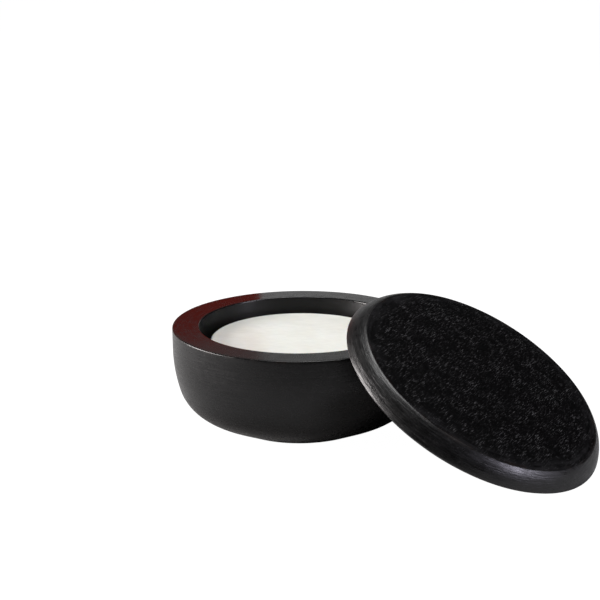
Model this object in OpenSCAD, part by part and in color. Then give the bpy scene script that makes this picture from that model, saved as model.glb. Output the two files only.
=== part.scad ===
// Turned wooden shaving bowl with its lid and a puck of shaving soap.
// The bowl stands on its foot, centred on the Z axis, and the lid leans on its rim.
// Every piece is a solid of revolution, so each has an outline in the XZ plane.

/* [Bowl] */
// Diameter of the bowl over its straight wall
bowl_d = 108; // [106:1:120]
// Height of the bowl from the foot to the rim
bowl_h = 43; // [40:0.5:50]
// Width of the flat rim, from the mouth to the outer wall
rim_w = 11.3; // [9:0.1:12.4]
// Diameter of the flat foot
foot_d = 59; // [50:1:60]
// Height at which the straight wall starts to curve in
curve_h = 33.8; // [33:0.1:36]
// Radius of that gentle curve
curve_r = 60; // [56:1:70]
// Radius of the turn from the gentle curve to the underside
turn_r = 18; // [16:0.5:18.5]
// Radius that eases both edges of the rim
rim_ease = 0.5; // [0.3:0.1:1]

/* [Recess in the bowl] */
// Thickness of wood left under the recess
floor_t = 13.4; // [11:0.1:15]
// How far the recess narrows on each side, from the mouth to its floor
recess_draft = 2; // [1:0.1:2.5]
// Radius between the recess's wall and its floor
recess_corner_r = 1.5; // [0.5:0.1:2]

/* [Soap] */
// Diameter of the soap
soap_d = 76.2; // [70:0.1:78]
// Thickness of the soap
soap_t = 23.5; // [18:0.5:24]
// Radius of the soap's top edge
soap_edge_r = 1.2; // [0.5:0.1:2]

/* [Lid] */
// Diameter of the lid at its widest
lid_d = 111; // [109:0.5:116]
// Thickness of the lid from its underside to its face
lid_t = 7.8; // [6.5:0.1:9]
// Diameter of the flat face, out to its edge
face_d = 101.6; // [99:0.1:103]
// Height of the widest circle above the underside
lid_widest_h = 1.1; // [0.4:0.1:1.4]
// Radius of the rounded band between the widest circle and the face
band_r = 12; // [10:0.5:20]
// How far the eased edge of the face reaches in from its corner
face_ease = 0.7; // [0.4:0.1:1]
// Depth of the step under the lid that drops into the mouth
step_h = 0.9; // [0.6:0.1:1.8]
// Gap between that step and the mouth, all round, when the lid is on
step_clearance = 0.6; // [0.4:0.1:1.2]

/* [How the lid leans] */
// Tilt of the lid from the horizontal
lid_tilt = 30.6; // [29:0.1:34]
// Direction from the bowl to the lid, seen from above and counted from +X
lean_azimuth = -34; // [-90:1:90]

/* [Hidden] */
$fn = 160;

// Unit vector from the gentle curve's centre to the point where the tighter turn takes over
curve_end_direction = [0.96, -0.28];
// Gap left between the lid and the rim that it leans on
lean_gap = 0.1;

bowl_r = bowl_d / 2;
foot_r = foot_d / 2;
mouth_r = bowl_r - rim_w;
recess_floor_r = mouth_r - recess_draft;
lid_r = lid_d / 2;
face_r = face_d / 2;
step_r = mouth_r - step_clearance;

// The gentle curve leaves the straight wall without a crease, and the turn leaves the gentle curve so.
curve_centre = [bowl_r - curve_r, curve_h];
turn_centre = curve_centre + (curve_r - turn_r) * curve_end_direction;
beyond_curve = curve_r + 1;

// The underside is a cone from the foot's edge that meets the turn without a crease.
foot_edge = [foot_r, 0];
underside_meets_turn = tangent_point(foot_edge, turn_centre, turn_r);

// The band's arc passes through the widest circle and through the face's edge.
band_centre = arc_centre([lid_r, lid_widest_h], [face_r, lid_t], band_r);
// A narrow bevel, half as steep as the band is there, takes the sharpness off the face's edge.
face_flat_r = face_r - face_ease;
face_ease_slope = atan2(face_r - band_centre.x, lid_t - band_centre.y) / 2;
beyond_band = lid_r + 1;

// The lid's underside edge stands on the table, and the face of its step meets the rim's eased edge.
underside_edge_r = lid_r - lid_widest_h;
lid_origin_h = underside_edge_r * sin(lid_tilt);
rim_edge = [bowl_r - rim_ease, bowl_h - rim_ease];
lid_reach = (cos(lid_tilt) * (rim_edge.y - lid_origin_h) + step_h + rim_ease + lean_gap) / sin(lid_tilt);
lid_origin_x = rim_edge.x + lid_reach;

// Centre of the arc of radius r that bulges outwards from point a up to point b.
function arc_centre(a, b, r) =
    let (chord = b - a, half = norm(chord) / 2)
    let (inwards = [-chord.y, chord.x] / norm(chord))
    (a + b) / 2 + inwards * sqrt(r * r - half * half);

// Point where the line from p touches the lower right of the circle about c.
function tangent_point(p, c, r) =
    let (to_centre = c - p, reach = norm(to_centre))
    let (slope = atan2(to_centre.y, to_centre.x) - asin(r / reach))
    p + sqrt(reach * reach - r * r) * [cos(slope), sin(slope)];

// A block from the axis out to r, between two heights, with its top outer edge eased.
module eased_top(r, low, high, ease) {
    square_between([0, low], [r, high - ease]);
    square_between([0, low], [r - ease, high]);
    translate([r - ease, high - ease]) circle(ease);
}

module square_between(low, high) {
    translate(low) square(high - low);
}

module bowl_outside() {
    eased_top(bowl_r, curve_h, bowl_h, rim_ease);
    // The gentle curve, cut off along the line through both centres
    intersection() {
        translate(curve_centre) circle(curve_r);
        polygon([
            [0, rim_edge.y],
            [beyond_curve, rim_edge.y],
            curve_centre + beyond_curve * curve_end_direction,
            turn_centre,
            [0, turn_centre.y]
        ]);
    }
    translate(turn_centre) circle(turn_r);
    polygon([[0, 0], foot_edge, underside_meets_turn, turn_centre, [0, turn_centre.y]]);
}

// The recess narrows from the mouth to a small rounded corner at its floor.
module recess() {
    corner_x = recess_floor_r - recess_corner_r;
    polygon([
        [0, floor_t],
        [corner_x, floor_t],
        [corner_x, floor_t + recess_corner_r],
        [recess_floor_r, floor_t + recess_corner_r],
        [mouth_r, bowl_h - rim_ease],
        [mouth_r + rim_ease, bowl_h],
        [0, bowl_h]
    ]);
    translate([corner_x, floor_t + recess_corner_r]) circle(recess_corner_r);
}

module bowl() {
    color([0.07, 0.065, 0.07])
    rotate_extrude()
    difference() {
        bowl_outside();
        recess();
    }
}

module soap() {
    color([0.93, 0.91, 0.86])
    rotate_extrude()
    eased_top(soap_d / 2, floor_t, floor_t + soap_t, soap_edge_r);
}

module lid_outline() {
    // The step that drops into the mouth
    square_between([0, -step_h], [step_r, lid_t / 2]);
    intersection() {
        // The rounded band and all that lies inside it
        union() {
            translate(band_centre) circle(band_r);
            square_between([0, 0], [band_centre.x, lid_t]);
        }
        // The underside and the face, each with its edge cut back
        polygon([
            [0, 0],
            [underside_edge_r, 0],
            [beyond_band, beyond_band - underside_edge_r],
            [beyond_band, lid_t - (beyond_band - face_flat_r) * tan(face_ease_slope)],
            [face_flat_r, lid_t],
            [0, lid_t]
        ]);
    }
}

module lid() {
    color([0.06, 0.058, 0.06])
    rotate([0, 0, lean_azimuth])
    translate([lid_origin_x, 0, lid_origin_h])
    rotate([0, lid_tilt, 0])
    rotate_extrude()
    lid_outline();
}

bowl();
soap();
lid();
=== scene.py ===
"""Looks of the turned wooden shaving bowl: black-stained bowl, leaning lid and a puck of soap."""
import math

import bpy
from mathutils import Matrix, Vector, noise


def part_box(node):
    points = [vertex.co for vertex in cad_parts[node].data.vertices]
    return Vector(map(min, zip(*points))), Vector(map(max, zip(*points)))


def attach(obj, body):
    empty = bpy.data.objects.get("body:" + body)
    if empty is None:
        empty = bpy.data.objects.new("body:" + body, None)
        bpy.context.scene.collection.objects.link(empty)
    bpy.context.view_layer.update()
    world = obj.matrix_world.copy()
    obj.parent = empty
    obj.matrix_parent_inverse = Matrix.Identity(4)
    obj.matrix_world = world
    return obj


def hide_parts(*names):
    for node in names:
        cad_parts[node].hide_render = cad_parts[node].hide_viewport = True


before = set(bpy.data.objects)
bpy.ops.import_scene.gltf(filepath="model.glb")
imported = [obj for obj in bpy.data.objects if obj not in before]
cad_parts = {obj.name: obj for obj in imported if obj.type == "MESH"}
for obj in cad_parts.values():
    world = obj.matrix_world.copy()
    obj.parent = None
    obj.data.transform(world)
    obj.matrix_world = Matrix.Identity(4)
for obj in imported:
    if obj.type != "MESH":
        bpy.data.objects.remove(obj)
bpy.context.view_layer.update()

MM = 0.001
TURNED = "turned"  # a mesh attribute: the place on a piece before it is moved, with its axis along Z
ON_AXIS = 1e-7  # a ring of a smaller radius is one vertex
SAME_POINT = 1e-7  # points of an outline that are closer than this are one point

# Sizes that the frame gives
BOWL_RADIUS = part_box("bowl")[1].x
BOWL_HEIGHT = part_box("bowl")[1].z
SOAP_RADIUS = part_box("soap")[1].x
SOAP_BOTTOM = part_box("soap")[0].z
SOAP_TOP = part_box("soap")[1].z

# Turned outline of the bowl. The wall curves in gently below CURVE_HEIGHT for CURVE_ANGLE degrees, and
# then more tightly
RIM_WIDTH = 11.3 * MM
RIM_EASE = 0.5 * MM
MOUTH_RADIUS = BOWL_RADIUS - RIM_WIDTH
RECESS_DRAFT = 2 * MM
RECESS_FLOOR_RADIUS = MOUTH_RADIUS - RECESS_DRAFT
RECESS_CORNER = 1.5 * MM
FOOT_RADIUS = 29.5 * MM
FOOT_EASE = 0.8 * MM
CURVE_HEIGHT = 33.8 * MM
CURVE_RADIUS = 60 * MM
CURVE_ANGLE = math.degrees(math.asin(0.28))
TURN_RADIUS = 18 * MM

# Soap
SOAP_EDGE = 1.2 * MM

# Turned outline of the lid, about its own axis. Its band is an arc of BAND_RADIUS, and its face's edge
# is eased with an arc of FACE_EASE
LID_RADIUS = 55.5 * MM
LID_THICKNESS = 7.8 * MM
FACE_RADIUS = 50.4 * MM
FACE_EASE = 1.4 * MM
WIDEST_HEIGHT = 1.1 * MM
BAND_RADIUS = 13 * MM
STEP_DEPTH = 0.9 * MM
STEP_CLEARANCE = 0.6 * MM
STEP_RADIUS = MOUTH_RADIUS - STEP_CLEARANCE
STEP_EASE = 0.3 * MM

# How the lid leans
LID_TILT = math.radians(30.6)
LEAN_AZIMUTH = math.radians(-34)
LEAN_GAP = 0.1 * MM

# Camera, measured from the bowl's foot
CAMERA_BACK = 0.53586
CAMERA_UP = 0.19722
CAMERA_PITCH = math.radians(15.063)
CAMERA_ROLL = math.radians(-0.469)
LENS_MM = 79.07

# Strength of the even light that comes from the whole room
ROOM_LIGHT = 0.040

# Colours of the stained wood, from the darkest stain to bare wood on a worn edge. The streaks' grey is
# also painted as sheen in a ring inside the lid face's edge
BLACK_STAIN = (0.0009, 0.00088, 0.00095)
WORN_BLACK = (0.0017, 0.0016, 0.0018)
STREAK_AND_SHEEN_GREY = (0.0160, 0.0156, 0.0164)
# The pores' grey below is partly their own colour and partly painted glint
PORE_AND_GLINT_GREY = (0.082, 0.081, 0.082)
BROWN_WOOD = (0.060, 0.031, 0.019)

# Patterns in the wood, with lengths in mm: the direction of the grain and the size of a pore along and
# across it, the distances between turning streaks, the width of the ring of painted sheen inside the lid
# face's edge, and how far and how strongly an edge is worn
GRAIN_ANGLE = math.radians(93)
PORE_SIZE = (3.0, 0.30, 0.30)
COARSE_PITCH = 1.7
FINE_PITCH = 0.6
SHEEN_RING_WIDTH = 8
WEAR_REACH = 1.6
WEAR_SHARE = 0.1

# Colours of the soap
SOAP_CREAM = (0.77, 0.778, 0.722)
SOAP_PALE = (0.81, 0.822, 0.775)
SOAP_SPECK = (0.55, 0.48, 0.38)


# Outlines

def arc(centre, radius, start, end, steps):
    """Points on an arc in the outline's plane, from one angle in degrees to another."""
    angles = [math.radians(start + (end - start) * i / steps) for i in range(steps + 1)]
    return [(centre[0] + radius * math.cos(a), centre[1] + radius * math.sin(a)) for a in angles]


def line(start, end, steps):
    """Points on a straight line, without its first point."""
    shares = [(i + 1) / steps for i in range(steps)]
    return [(start[0] + (end[0] - start[0]) * t, start[1] + (end[1] - start[1]) * t) for t in shares]


def ring_vertices(radius, height, segments):
    """A ring of vertices about Z, or one vertex where the ring has closed on the axis."""
    if radius < ON_AXIS:
        return [(0, 0, height)]
    angles = [2 * math.pi * step / segments for step in range(segments)]
    return [(radius * math.cos(angle), radius * math.sin(angle), height) for angle in angles]


def faces_between(low, low_is_point, high, high_is_point, segments):
    """Faces between two rings. low and high are the numbers of their first vertices."""
    faces = []
    for step in range(segments):
        after = (step + 1) % segments
        if low_is_point:
            faces.append((low, high + after, high + step))
        elif high_is_point:
            faces.append((low + step, low + after, high))
        else:
            faces.append((low + step, low + after, high + after, high + step))
    return faces


def lathe(name, zones, segments=384):
    """Turns an outline about Z. zones is a list of (material, points), each going on from the last one."""
    outline = []
    for slot, (_, points) in enumerate(zones):
        for point in points:
            if outline and math.dist(outline[-1][0], point) < SAME_POINT:
                continue
            outline.append((point, slot))
    vertices = []
    faces = []
    slots = []
    last = None
    for (radius, height), slot in outline:
        ring = (len(vertices), radius < ON_AXIS)
        vertices += ring_vertices(radius, height, segments)
        if last is not None:
            added = faces_between(*last, *ring, segments)
            faces += added
            slots += [slot] * len(added)
        last = ring
    mesh = bpy.data.meshes.new(name)
    mesh.from_pydata(vertices, [], faces)
    for material, _ in zones:
        mesh.materials.append(material)
    mesh.polygons.foreach_set("material_index", slots)
    mesh.polygons.foreach_set("use_smooth", [True] * len(faces))
    mesh.update()
    piece = bpy.data.objects.new(name, mesh)
    bpy.context.scene.collection.objects.link(piece)
    return piece


def place_turning(piece, place):
    """Keeps each vertex's place about its own axis for the materials, then moves the mesh to its place."""
    own = piece.data.attributes.new(TURNED, "FLOAT_VECTOR", "POINT")
    for item, vertex in zip(own.data, piece.data.vertices):
        item.vector = vertex.co
    piece.data.transform(place)
    piece.data.update()


def hand_finish(piece, amount, size, seed):
    """Moves the surface inwards a little, by an uneven amount, as sanding by hand leaves it."""
    offset = Vector((seed, seed * 2, seed * 3))
    moves = []
    for vertex in piece.data.vertices:
        wave = noise.noise(vertex.co / size + offset)
        ripple = noise.noise(vertex.co * 3 / size - offset) / 3
        moves.append(vertex.co - vertex.normal * amount * (1 + wave + ripple) / 2)
    for vertex, place in zip(piece.data.vertices, moves):
        vertex.co = place
    piece.data.update()


# Materials

class Graph:
    """A material's node tree, with short calls for the nodes that it uses."""

    def __init__(self, name):
        self.material = bpy.data.materials.new(name)
        self.material.use_nodes = True
        self.tree = self.material.node_tree
        self.shader = self.tree.nodes["Principled BSDF"]

    def set(self, **values):
        for name, value in values.items():
            self.shader.inputs[name.replace("_", " ")].default_value = value

    def link(self, source, target):
        self.tree.links.new(source, target)

    def feed(self, value, socket):
        """Links value to the socket if it is another node's output, and otherwise sets it there."""
        if isinstance(value, bpy.types.NodeSocket):
            self.link(value, socket)
        else:
            socket.default_value = value

    def add(self, kind, **inputs):
        node = self.tree.nodes.new(kind)
        for name, value in inputs.items():
            self.feed(value, node.inputs[name.replace("_", " ")])
        return node

    def math(self, operation, a, b=0.0):
        node = self.tree.nodes.new("ShaderNodeMath")
        node.operation = operation
        self.feed(a, node.inputs[0])
        self.feed(b, node.inputs[1])
        return node.outputs[0]

    def local(self):
        """Place on the piece about its own axis, in millimetres, as a vector and as x, y, z and radius."""
        own = self.add("ShaderNodeAttribute")
        own.attribute_name = TURNED
        scaled = self.tree.nodes.new("ShaderNodeVectorMath")
        scaled.operation = "SCALE"
        scaled.inputs["Scale"].default_value = 1 / MM
        self.link(own.outputs["Vector"], scaled.inputs[0])
        parts = self.add("ShaderNodeSeparateXYZ", Vector=scaled.outputs[0])
        x, y, z = parts.outputs
        squares = self.math("ADD", self.math("MULTIPLY", x, x), self.math("MULTIPLY", y, y))
        radius = self.math("SQRT", squares)
        return scaled.outputs[0], x, y, z, radius

    def noise(self, vector, scale, detail, roughness, distortion=0.0):
        """Noise from 0 to 1, with scale features to the unit of the vector."""
        node = self.add("ShaderNodeTexNoise", Vector=vector, Scale=scale, Detail=detail,
                        Roughness=roughness, Distortion=distortion)
        return node.outputs["Fac"]

    def stretched(self, vector, angle, scale):
        """A place in a pattern that is stretched by scale along axes turned by angle."""
        node = self.add("ShaderNodeMapping", Vector=vector)
        node.vector_type = "TEXTURE"
        node.inputs["Rotation"].default_value = (0, 0, angle)
        node.inputs["Scale"].default_value = scale
        return node.outputs[0]

    def ramp(self, value, low, high, bottom=0.0, top=1.0):
        """bottom below low, top above high, and a smooth step between."""
        node = self.add("ShaderNodeMapRange", Value=value)
        node.interpolation_type = "SMOOTHSTEP"
        node.inputs["From Min"].default_value = low
        node.inputs["From Max"].default_value = high
        node.inputs["To Min"].default_value = bottom
        node.inputs["To Max"].default_value = top
        return node.outputs[0]

    def mix(self, share, a, b):
        """Colour a where share is 0, and b where it is 1."""
        node = self.tree.nodes.new("ShaderNodeMix")
        node.data_type = "RGBA"
        for name, value in (("Factor_Float", share), ("A_Color", a), ("B_Color", b)):
            socket = next(s for s in node.inputs if s.identifier == name)
            self.feed((*value, 1) if isinstance(value, tuple) else value, socket)
        return next(s for s in node.outputs if s.identifier == "Result_Color")

    def bump(self, height, distance, before=None):
        """A normal for relief of that depth, on top of the one before it."""
        node = self.add("ShaderNodeBump", Height=height, Distance=distance, Strength=1.0)
        if before is not None:
            self.link(before, node.inputs["Normal"])
        return node.outputs[0]


def wood_pores(g, place):
    """Open pores as short dashes along the grain, thick in some patches and thin in others, from 0 to 1."""
    along = g.stretched(place, GRAIN_ANGLE, PORE_SIZE)
    dashes = g.ramp(g.noise(along, 1.0, 2.0, 0.55, 0.6), 0.54, 0.71)
    patches = g.ramp(g.noise(place, 0.2, 4.0, 0.65), 0.36, 0.66, 0.05, 1.0)
    return g.math("MULTIPLY", dashes, patches)


def turning_streaks(g, x, y, z, radius, pitch):
    """Fine streaks round the axis, pitch mm apart, as the tool and the sandpaper leave them."""
    along = g.math("DIVIDE", 5.0, g.math("MAXIMUM", radius, 0.5))
    across = g.math("DIVIDE", g.math("SUBTRACT", radius, z), pitch)
    vector = g.add("ShaderNodeCombineXYZ", X=g.math("MULTIPLY", x, along),
                   Y=g.math("MULTIPLY", y, along), Z=across)
    return g.noise(vector.outputs[0], 1.0, 3.0, 0.6)


def edge_share(g, place, radius, z, edge, reach):
    """1 on a turned edge and 0 beyond its reach, broken up along it. edge is (radius, height) in mm."""
    across = g.math("SUBTRACT", radius, edge[0])
    up = g.math("SUBTRACT", z, edge[1])
    squares = g.math("ADD", g.math("MULTIPLY", across, across), g.math("MULTIPLY", up, up))
    near = g.ramp(g.math("SQRT", squares), 0.15 * reach, reach, 1.0, 0.0)
    patchy = g.ramp(g.noise(place, 0.12, 5.0, 0.7), 0.46, 0.68)
    return g.math("MULTIPLY", near, patchy)


def painted_sheen_ring(g, place, radius, coarse, outer):
    """How near a place is to the outer radius in mm, and how much lighter grey is painted there as sheen,
    each from 0 to 1.
    """
    near = g.ramp(radius, outer - SHEEN_RING_WIDTH, outer)
    uneven = g.ramp(g.math("ADD", g.noise(place, 0.05, 2.0, 0.5), coarse), 0.85, 1.35)
    return near, g.math("MULTIPLY", near, uneven)


def wood_roughness(g, place, pores, fine, roughness):
    """Uneven roughness about a mean, higher in the pores and varied by the fine streaks."""
    rough = g.ramp(g.noise(place, 0.35, 4.0, 0.65), 0.3, 0.7, roughness - 0.04, roughness + 0.05)
    rough = g.math("ADD", rough, g.math("MULTIPLY", pores, 0.12))
    return g.math("ADD", rough, g.ramp(fine, 0.3, 0.7, -0.05, 0.05))


def wood_relief(g, coarse, fine, streak_depth, pores, pore_depth):
    """Normal of a surface with turning streaks and open pores."""
    streaks = g.math("ADD", g.math("MULTIPLY", coarse, 2.0), fine)
    normal = g.bump(streaks, streak_depth)
    return g.bump(g.math("SUBTRACT", 1.0, pores), pore_depth, before=normal)


def stained_wood(name, roughness, specular, pore_and_glint_share, pore_depth, streak_share, streak_depth, edge,
                 sheen_ring_edge=None):
    """Black-stained open-pored wood, a little worn to brown along one edge.

    pore_and_glint_share and streak_share say how far the pores and the streaks show in the colour, and
    pore_depth and streak_depth how deep they are. The pores' lighter grey is partly their own and partly
    painted glint.
    edge is (radius, height) in mm. Given a radius in mm as the last argument, the pores show less in a ring
    just inside it, and a lighter grey is painted unevenly in that ring as sheen.
    """
    g = Graph(name)
    place, x, y, z, radius = g.local()
    coarse = turning_streaks(g, x, y, z, radius, COARSE_PITCH)
    fine = turning_streaks(g, x, y, z, radius, FINE_PITCH)
    pores = wood_pores(g, place)
    if sheen_ring_edge is not None:
        near, painted_sheen = painted_sheen_ring(g, place, radius, coarse, sheen_ring_edge)
        pores = g.math("MULTIPLY", pores, g.math("SUBTRACT", 1.0, g.math("MULTIPLY", near, 0.35)))

    cloud = g.math("MULTIPLY", g.noise(place, 0.22, 4.0, 0.6), 0.7)
    cloud = g.math("ADD", cloud, g.math("MULTIPLY", coarse, 0.3))
    colour = g.mix(g.ramp(cloud, 0.35, 0.72), BLACK_STAIN, WORN_BLACK)
    # The pores' lighter grey is partly their own colour and partly painted glint on them
    colour = g.mix(g.math("MULTIPLY", pores, pore_and_glint_share), colour, PORE_AND_GLINT_GREY)
    colour = g.mix(g.ramp(fine, 0.50, 0.72, 0.0, streak_share), colour, STREAK_AND_SHEEN_GREY)
    if sheen_ring_edge is not None:
        # painted sheen: a lighter grey near the face's edge stands in for the light reflected there
        colour = g.mix(painted_sheen, colour, STREAK_AND_SHEEN_GREY)
    worn = edge_share(g, place, radius, z, edge, WEAR_REACH)
    colour = g.mix(g.math("MULTIPLY", worn, WEAR_SHARE), colour, BROWN_WOOD)

    g.link(colour, g.shader.inputs["Base Color"])
    g.link(wood_roughness(g, place, pores, fine, roughness), g.shader.inputs["Roughness"])
    normal = wood_relief(g, coarse, fine, streak_depth, pores, pore_depth)
    g.link(normal, g.shader.inputs["Normal"])
    g.set(Specular_IOR_Level=specular)
    return g.material


def soap_material():
    """Hard milled soap: slightly cloudy and wavy, with a few small specks towards its edge."""
    g = Graph("soap_milled")
    place, _, _, _, radius = g.local()
    cloud = g.noise(place, 0.06, 3.0, 0.5)
    colour = g.mix(g.ramp(cloud, 0.35, 0.65), SOAP_CREAM, SOAP_PALE)
    specks = g.ramp(g.noise(place, 1.7, 2.0, 0.5), 0.68, 0.74)
    near_edge = g.ramp(radius, 28.0, 36.0)
    speckled = g.math("MULTIPLY", g.math("MULTIPLY", specks, near_edge), 0.4)
    colour = g.mix(speckled, colour, SOAP_SPECK)
    g.link(colour, g.shader.inputs["Base Color"])
    g.link(g.ramp(g.noise(place, 0.2, 4.0, 0.6), 0.3, 0.7, 0.16, 0.26), g.shader.inputs["Roughness"])
    normal = g.bump(g.noise(place, 0.12, 2.0, 0.5), 0.25 * MM)
    normal = g.bump(g.noise(place, 1.2, 4.0, 0.6), 0.012 * MM, before=normal)
    g.link(normal, g.shader.inputs["Normal"])
    g.set(Subsurface_Weight=0.25, Subsurface_Scale=0.004, Subsurface_Radius=(1.0, 0.75, 0.5), IOR=1.46)
    return g.material


# Pieces

def tangent_angle(point, centre, radius):
    """Angle in degrees, about centre, at which the line from point touches the circle's lower right."""
    across, up = centre[0] - point[0], centre[1] - point[1]
    slope = math.atan2(up, across) - math.asin(radius / math.hypot(across, up))
    return math.degrees(slope) - 90


def polar(centre, radius, angle):
    """The point at angle in degrees on the circle of that radius about centre."""
    turned = math.radians(angle)
    return (centre[0] + radius * math.cos(turned), centre[1] + radius * math.sin(turned))


def bowl_outline(wall, rim, inside, foot):
    """The bowl's outline, from the middle of its foot round to the middle of the recess's floor."""
    curve_centre = (BOWL_RADIUS - CURVE_RADIUS, CURVE_HEIGHT)
    turn_centre = polar(curve_centre, CURVE_RADIUS - TURN_RADIUS, -CURVE_ANGLE)
    meets = tangent_angle((FOOT_RADIUS, 0), turn_centre, TURN_RADIUS)
    turn = arc(turn_centre, TURN_RADIUS, meets, -CURVE_ANGLE, 36)
    curve = arc(curve_centre, CURVE_RADIUS, -CURVE_ANGLE, 0, 20)
    foot_flat = (FOOT_RADIUS - FOOT_EASE, 0)
    slope = math.radians(90 + meets)
    slope_start = (FOOT_RADIUS + FOOT_EASE * math.cos(slope), FOOT_EASE * math.sin(slope))
    rim_outer = arc((BOWL_RADIUS - RIM_EASE, BOWL_HEIGHT - RIM_EASE), RIM_EASE, 0, 90, 6)
    rim_inner = arc((MOUTH_RADIUS + RIM_EASE, BOWL_HEIGHT - RIM_EASE), RIM_EASE, 90, 180, 6)
    floor_edge = (RECESS_FLOOR_RADIUS, SOAP_BOTTOM + RECESS_CORNER)
    corner_centre = (RECESS_FLOOR_RADIUS - RECESS_CORNER, SOAP_BOTTOM + RECESS_CORNER)
    corner = arc(corner_centre, RECESS_CORNER, 0, -90, 6)
    underside = line(slope_start, turn[0], 12)
    straight = line(curve[-1], rim_outer[0], 8)
    return [
        (foot, [(0, 0)] + line((0, 0), foot_flat, 30) + [(FOOT_RADIUS, 0.12 * MM), slope_start]),
        (wall, underside + turn + curve + straight + rim_outer),
        (rim, line(rim_outer[-1], rim_inner[0], 16) + rim_inner),
        (inside, line(rim_inner[-1], floor_edge, 24) + corner + line(corner[-1], (0, SOAP_BOTTOM), 10)),
    ]


def make_bowl():
    rim_edge = (BOWL_RADIUS / MM, BOWL_HEIGHT / MM)
    mouth_edge = (MOUTH_RADIUS / MM, BOWL_HEIGHT / MM)
    foot_edge = (FOOT_RADIUS / MM, 0)
    wall = stained_wood("bowl_wall_wood", roughness=0.29, specular=0.37, pore_and_glint_share=0.05,
                        pore_depth=0.010 * MM, streak_share=0.2, streak_depth=0.012 * MM, edge=rim_edge)
    rim = stained_wood("bowl_rim_wood", roughness=0.21, specular=0.5, pore_and_glint_share=0.06,
                       pore_depth=0.006 * MM, streak_share=0.2, streak_depth=0.006 * MM, edge=rim_edge)
    inside = stained_wood("bowl_recess_wood", roughness=0.36, specular=0.36, pore_and_glint_share=0.08,
                          pore_depth=0.006 * MM, streak_share=0.2, streak_depth=0.008 * MM, edge=mouth_edge)
    foot = stained_wood("bowl_foot_wood", roughness=0.6, specular=0.3, pore_and_glint_share=0.6,
                        pore_depth=0.04 * MM, streak_share=0.4, streak_depth=0.03 * MM, edge=foot_edge)
    piece = lathe("bowl_turned", bowl_outline(wall, rim, inside, foot))
    hand_finish(piece, 0.05 * MM, 14 * MM, seed=3)
    place_turning(piece, Matrix.Identity(4))
    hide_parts("bowl")
    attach(piece, "bowl")


def make_soap():
    edge = arc((SOAP_RADIUS - SOAP_EDGE, SOAP_TOP - SOAP_EDGE), SOAP_EDGE, 0, 90, 8)
    bottom_edge = arc((SOAP_RADIUS - SOAP_EDGE, SOAP_BOTTOM + SOAP_EDGE), SOAP_EDGE, -90, 0, 6)
    bottom = [(0, SOAP_BOTTOM)] + line((0, SOAP_BOTTOM), bottom_edge[0], 6)
    side = line(bottom_edge[-1], edge[0], 10)
    top = line(edge[-1], (0, SOAP_TOP), 60)
    outline = bottom + bottom_edge + side + edge + top
    piece = lathe("soap_puck", [(soap_material(), outline)], segments=256)
    hand_finish(piece, 0.12 * MM, 20 * MM, seed=5)
    place_turning(piece, Matrix.Identity(4))
    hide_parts("soap")
    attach(piece, "bowl")


def band_centre():
    """Centre of the band's arc, which goes through the widest circle and the corner of the face."""
    along = (FACE_RADIUS - LID_RADIUS, LID_THICKNESS - WIDEST_HEIGHT)
    chord = math.hypot(*along)
    back = math.sqrt(BAND_RADIUS ** 2 - chord ** 2 / 4)
    middle = ((LID_RADIUS + FACE_RADIUS) / 2, (LID_THICKNESS + WIDEST_HEIGHT) / 2)
    return (middle[0] - along[1] / chord * back, middle[1] + along[0] / chord * back)


def lid_outline(face, band, under):
    """The lid's outline, from the middle of its step, round the band, to the middle of its face."""
    centre = band_centre()
    ease_height = LID_THICKNESS - FACE_EASE
    reach = math.sqrt((BAND_RADIUS - FACE_EASE) ** 2 - (ease_height - centre[1]) ** 2)
    ease_centre = (centre[0] + reach, ease_height)
    band_start = math.degrees(math.asin((WIDEST_HEIGHT - centre[1]) / BAND_RADIUS))
    band_end = math.degrees(math.atan2(ease_height - centre[1], reach))
    band_points = arc(centre, BAND_RADIUS, band_start, band_end, 28)
    ease = arc(ease_centre, FACE_EASE, band_end, 90, 8)
    step_edge = arc((STEP_RADIUS - STEP_EASE, STEP_EASE - STEP_DEPTH), STEP_EASE, -90, 0, 4)
    step_corner = (STEP_RADIUS, 0)
    under_edge = (LID_RADIUS - WIDEST_HEIGHT, 0)
    step = [(0, -STEP_DEPTH)] + line((0, -STEP_DEPTH), step_edge[0], 50) + step_edge
    return [
        (under, step + line(step_edge[-1], step_corner, 2) + line(step_corner, under_edge, 20)),
        (band, line(under_edge, band_points[0], 3) + band_points + ease),
        (face, line(ease[-1], (0, LID_THICKNESS), 120)),
    ]


def lid_place():
    """Where the lid leans: its underside edge on the table, its step against the rim's eased edge."""
    height = (LID_RADIUS - WIDEST_HEIGHT) * math.sin(LID_TILT)
    edge_height = BOWL_HEIGHT - RIM_EASE
    rest = math.cos(LID_TILT) * (edge_height - height) + STEP_DEPTH + RIM_EASE + LEAN_GAP
    across = BOWL_RADIUS - RIM_EASE + rest / math.sin(LID_TILT)
    lean = Matrix.Rotation(LEAN_AZIMUTH, 4, "Z")
    return lean @ Matrix.Translation((across, 0, height)) @ Matrix.Rotation(LID_TILT, 4, "Y")


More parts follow.
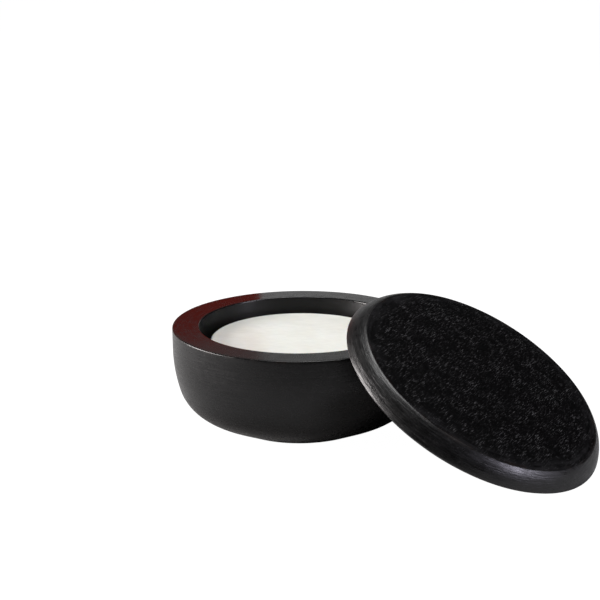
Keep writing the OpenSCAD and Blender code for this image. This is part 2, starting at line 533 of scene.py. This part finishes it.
def make_lid():
    face_edge = (FACE_RADIUS / MM - 0.4, LID_THICKNESS / MM - 0.2)
    widest = (LID_RADIUS / MM, WIDEST_HEIGHT / MM)
    # The face's material paints a lighter grey ring of sheen just inside its edge
    face = stained_wood("lid_face_wood", roughness=0.45, specular=0.04, pore_and_glint_share=1.0,
                        pore_depth=0.05 * MM, streak_share=0.12, streak_depth=0.05 * MM, edge=face_edge,
                        sheen_ring_edge=FACE_RADIUS / MM)
    band = stained_wood("lid_band_wood", roughness=0.34, specular=0.49, pore_and_glint_share=0.10,
                        pore_depth=0.015 * MM, streak_share=0.5, streak_depth=0.07 * MM, edge=face_edge)
    under = stained_wood("lid_underside_wood", roughness=0.5, specular=0.35, pore_and_glint_share=0.5,
                         pore_depth=0.04 * MM, streak_share=0.4, streak_depth=0.05 * MM, edge=widest)
    piece = lathe("lid_turned", lid_outline(face, band, under))
    hand_finish(piece, 0.05 * MM, 14 * MM, seed=8)
    place_turning(piece, lid_place())
    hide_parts("lid")
    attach(piece, "lid")


# Stage

def aim(thing, target):
    thing.rotation_mode = "QUATERNION"
    thing.rotation_quaternion = (Vector(target) - thing.location).to_track_quat("-Z", "Y")


def soft_light(name, azimuth, elevation, distance, width, height, power, colour=(1, 1, 1)):
    """An area light about the bowl. Azimuth 0 is in front, and 90 is to the right."""
    a, e = math.radians(azimuth), math.radians(elevation)
    data = bpy.data.lights.new(name, "AREA")
    data.shape = "RECTANGLE"
    data.size = width
    data.size_y = height
    data.energy = power
    data.color = colour
    light = bpy.data.objects.new(name, data)
    light.visible_camera = False
    light.location = (distance * math.sin(a) * math.cos(e), -distance * math.cos(a) * math.cos(e),
                      distance * math.sin(e))
    aim(light, (0.03, -0.02, 0.02))
    bpy.context.scene.collection.objects.link(light)


def make_floor():
    """White table. The camera sees its shadows only faintly, as on a sheet lit from all round."""
    g = Graph("floor_white")
    g.set(Base_Color=(0.47, 0.47, 0.47, 1), Roughness=0.9, Specular_IOR_Level=0.1)
    glow = g.add("ShaderNodeEmission", Strength=1.28)
    camera_ray = g.add("ShaderNodeLightPath").outputs["Is Camera Ray"]
    share = g.math("MULTIPLY", camera_ray, 0.78)
    mixed = g.add("ShaderNodeMixShader", Fac=share)
    g.link(g.shader.outputs[0], mixed.inputs[1])
    g.link(glow.outputs[0], mixed.inputs[2])
    g.link(mixed.outputs[0], g.tree.nodes["Material Output"].inputs["Surface"])
    mesh = bpy.data.meshes.new("floor")
    half = 9.0
    corners = [(-half, -half, 0), (half, -half, 0), (half, half, 0), (-half, half, 0)]
    mesh.from_pydata(corners, [], [(0, 1, 2, 3)])
    mesh.materials.append(g.material)
    floor = bpy.data.objects.new("floor", mesh)
    bpy.context.scene.collection.objects.link(floor)


def make_card(name, corners, colour):
    """A flat card that only reflections see."""
    g = Graph(name)
    glow = g.add("ShaderNodeEmission", Color=(*colour, 1))
    g.link(glow.outputs[0], g.tree.nodes["Material Output"].inputs["Surface"])
    mesh = bpy.data.meshes.new(name)
    mesh.from_pydata(corners, [], [(0, 1, 2, 3)])
    mesh.materials.append(g.material)
    card = bpy.data.objects.new(name, mesh)
    card.visible_camera = False
    card.visible_diffuse = False
    card.visible_shadow = False
    bpy.context.scene.collection.objects.link(card)


def upright_card(name, left, right, low, high, colour):
    make_card(name, [(*left, low), (*right, low), (*right, high), (*left, high)], colour)


def flat_card(name, low, high, height, colour):
    corners = [(low[0], low[1]), (high[0], low[1]), high, (low[0], high[1])]
    make_card(name, [(*corner, height) for corner in corners], colour)


def make_world():
    """White behind everything for the camera, and a dim room for the light that falls on the object."""
    world = bpy.data.worlds.new("studio")
    bpy.context.scene.world = world
    world.use_nodes = True
    tree = world.node_tree
    room = tree.nodes["Background"]
    room.inputs["Color"].default_value = (1, 1, 1, 1)
    room.inputs["Strength"].default_value = ROOM_LIGHT
    white = tree.nodes.new("ShaderNodeBackground")
    white.inputs["Color"].default_value = (1, 1, 1, 1)
    white.inputs["Strength"].default_value = 1.2
    mixed = tree.nodes.new("ShaderNodeMixShader")
    path = tree.nodes.new("ShaderNodeLightPath")
    tree.links.new(path.outputs["Is Camera Ray"], mixed.inputs[0])
    tree.links.new(room.outputs[0], mixed.inputs[1])
    tree.links.new(white.outputs[0], mixed.inputs[2])
    tree.links.new(mixed.outputs[0], tree.nodes["World Output"].inputs["Surface"])


def make_camera():
    data = bpy.data.cameras.new("camera")
    data.lens = LENS_MM
    data.sensor_width = 36
    data.clip_start = 0.02
    camera = bpy.data.objects.new("camera", data)
    pitch = Matrix.Rotation(math.pi / 2 - CAMERA_PITCH, 4, "X")
    roll = Matrix.Rotation(CAMERA_ROLL, 4, "Z")
    camera.matrix_world = Matrix.Translation((0, -CAMERA_BACK, CAMERA_UP)) @ pitch @ roll
    bpy.context.scene.collection.objects.link(camera)
    bpy.context.scene.camera = camera


def make_stage():
    make_floor()
    make_world()
    soft_light("left_softbox", -92, 17, 1.1, 0.8, 0.5, 27, (1, 0.95, 0.94))
    soft_light("right_softbox", 64, 19, 1.1, 0.3, 0.3, 5.0, (0.88, 0.85, 1))
    soft_light("top_softbox", 150, 80, 1.4, 0.8, 0.8, 14.7)
    soft_light("backdrop", 182, 12, 1.3, 1.3, 0.4, 0.80)
    upright_card("warm_card", (-0.130, 0.070), (-0.020, 0.108), 0.037, 0.082, (0.25, 0.020, 0.012))
    upright_card("pale_card", (-0.130, 0.070), (-0.020, 0.108), 0.082, 0.115, (0.20, 0.18, 0.18))
    flat_card("table_end", (-0.25, -1.2), (1.0, -0.20), 0.001, (0.05, 0.05, 0.05))
    bpy.context.scene.view_settings.view_transform = "Standard"


make_camera()
make_bowl()
make_soap()
make_lid()
make_stage()
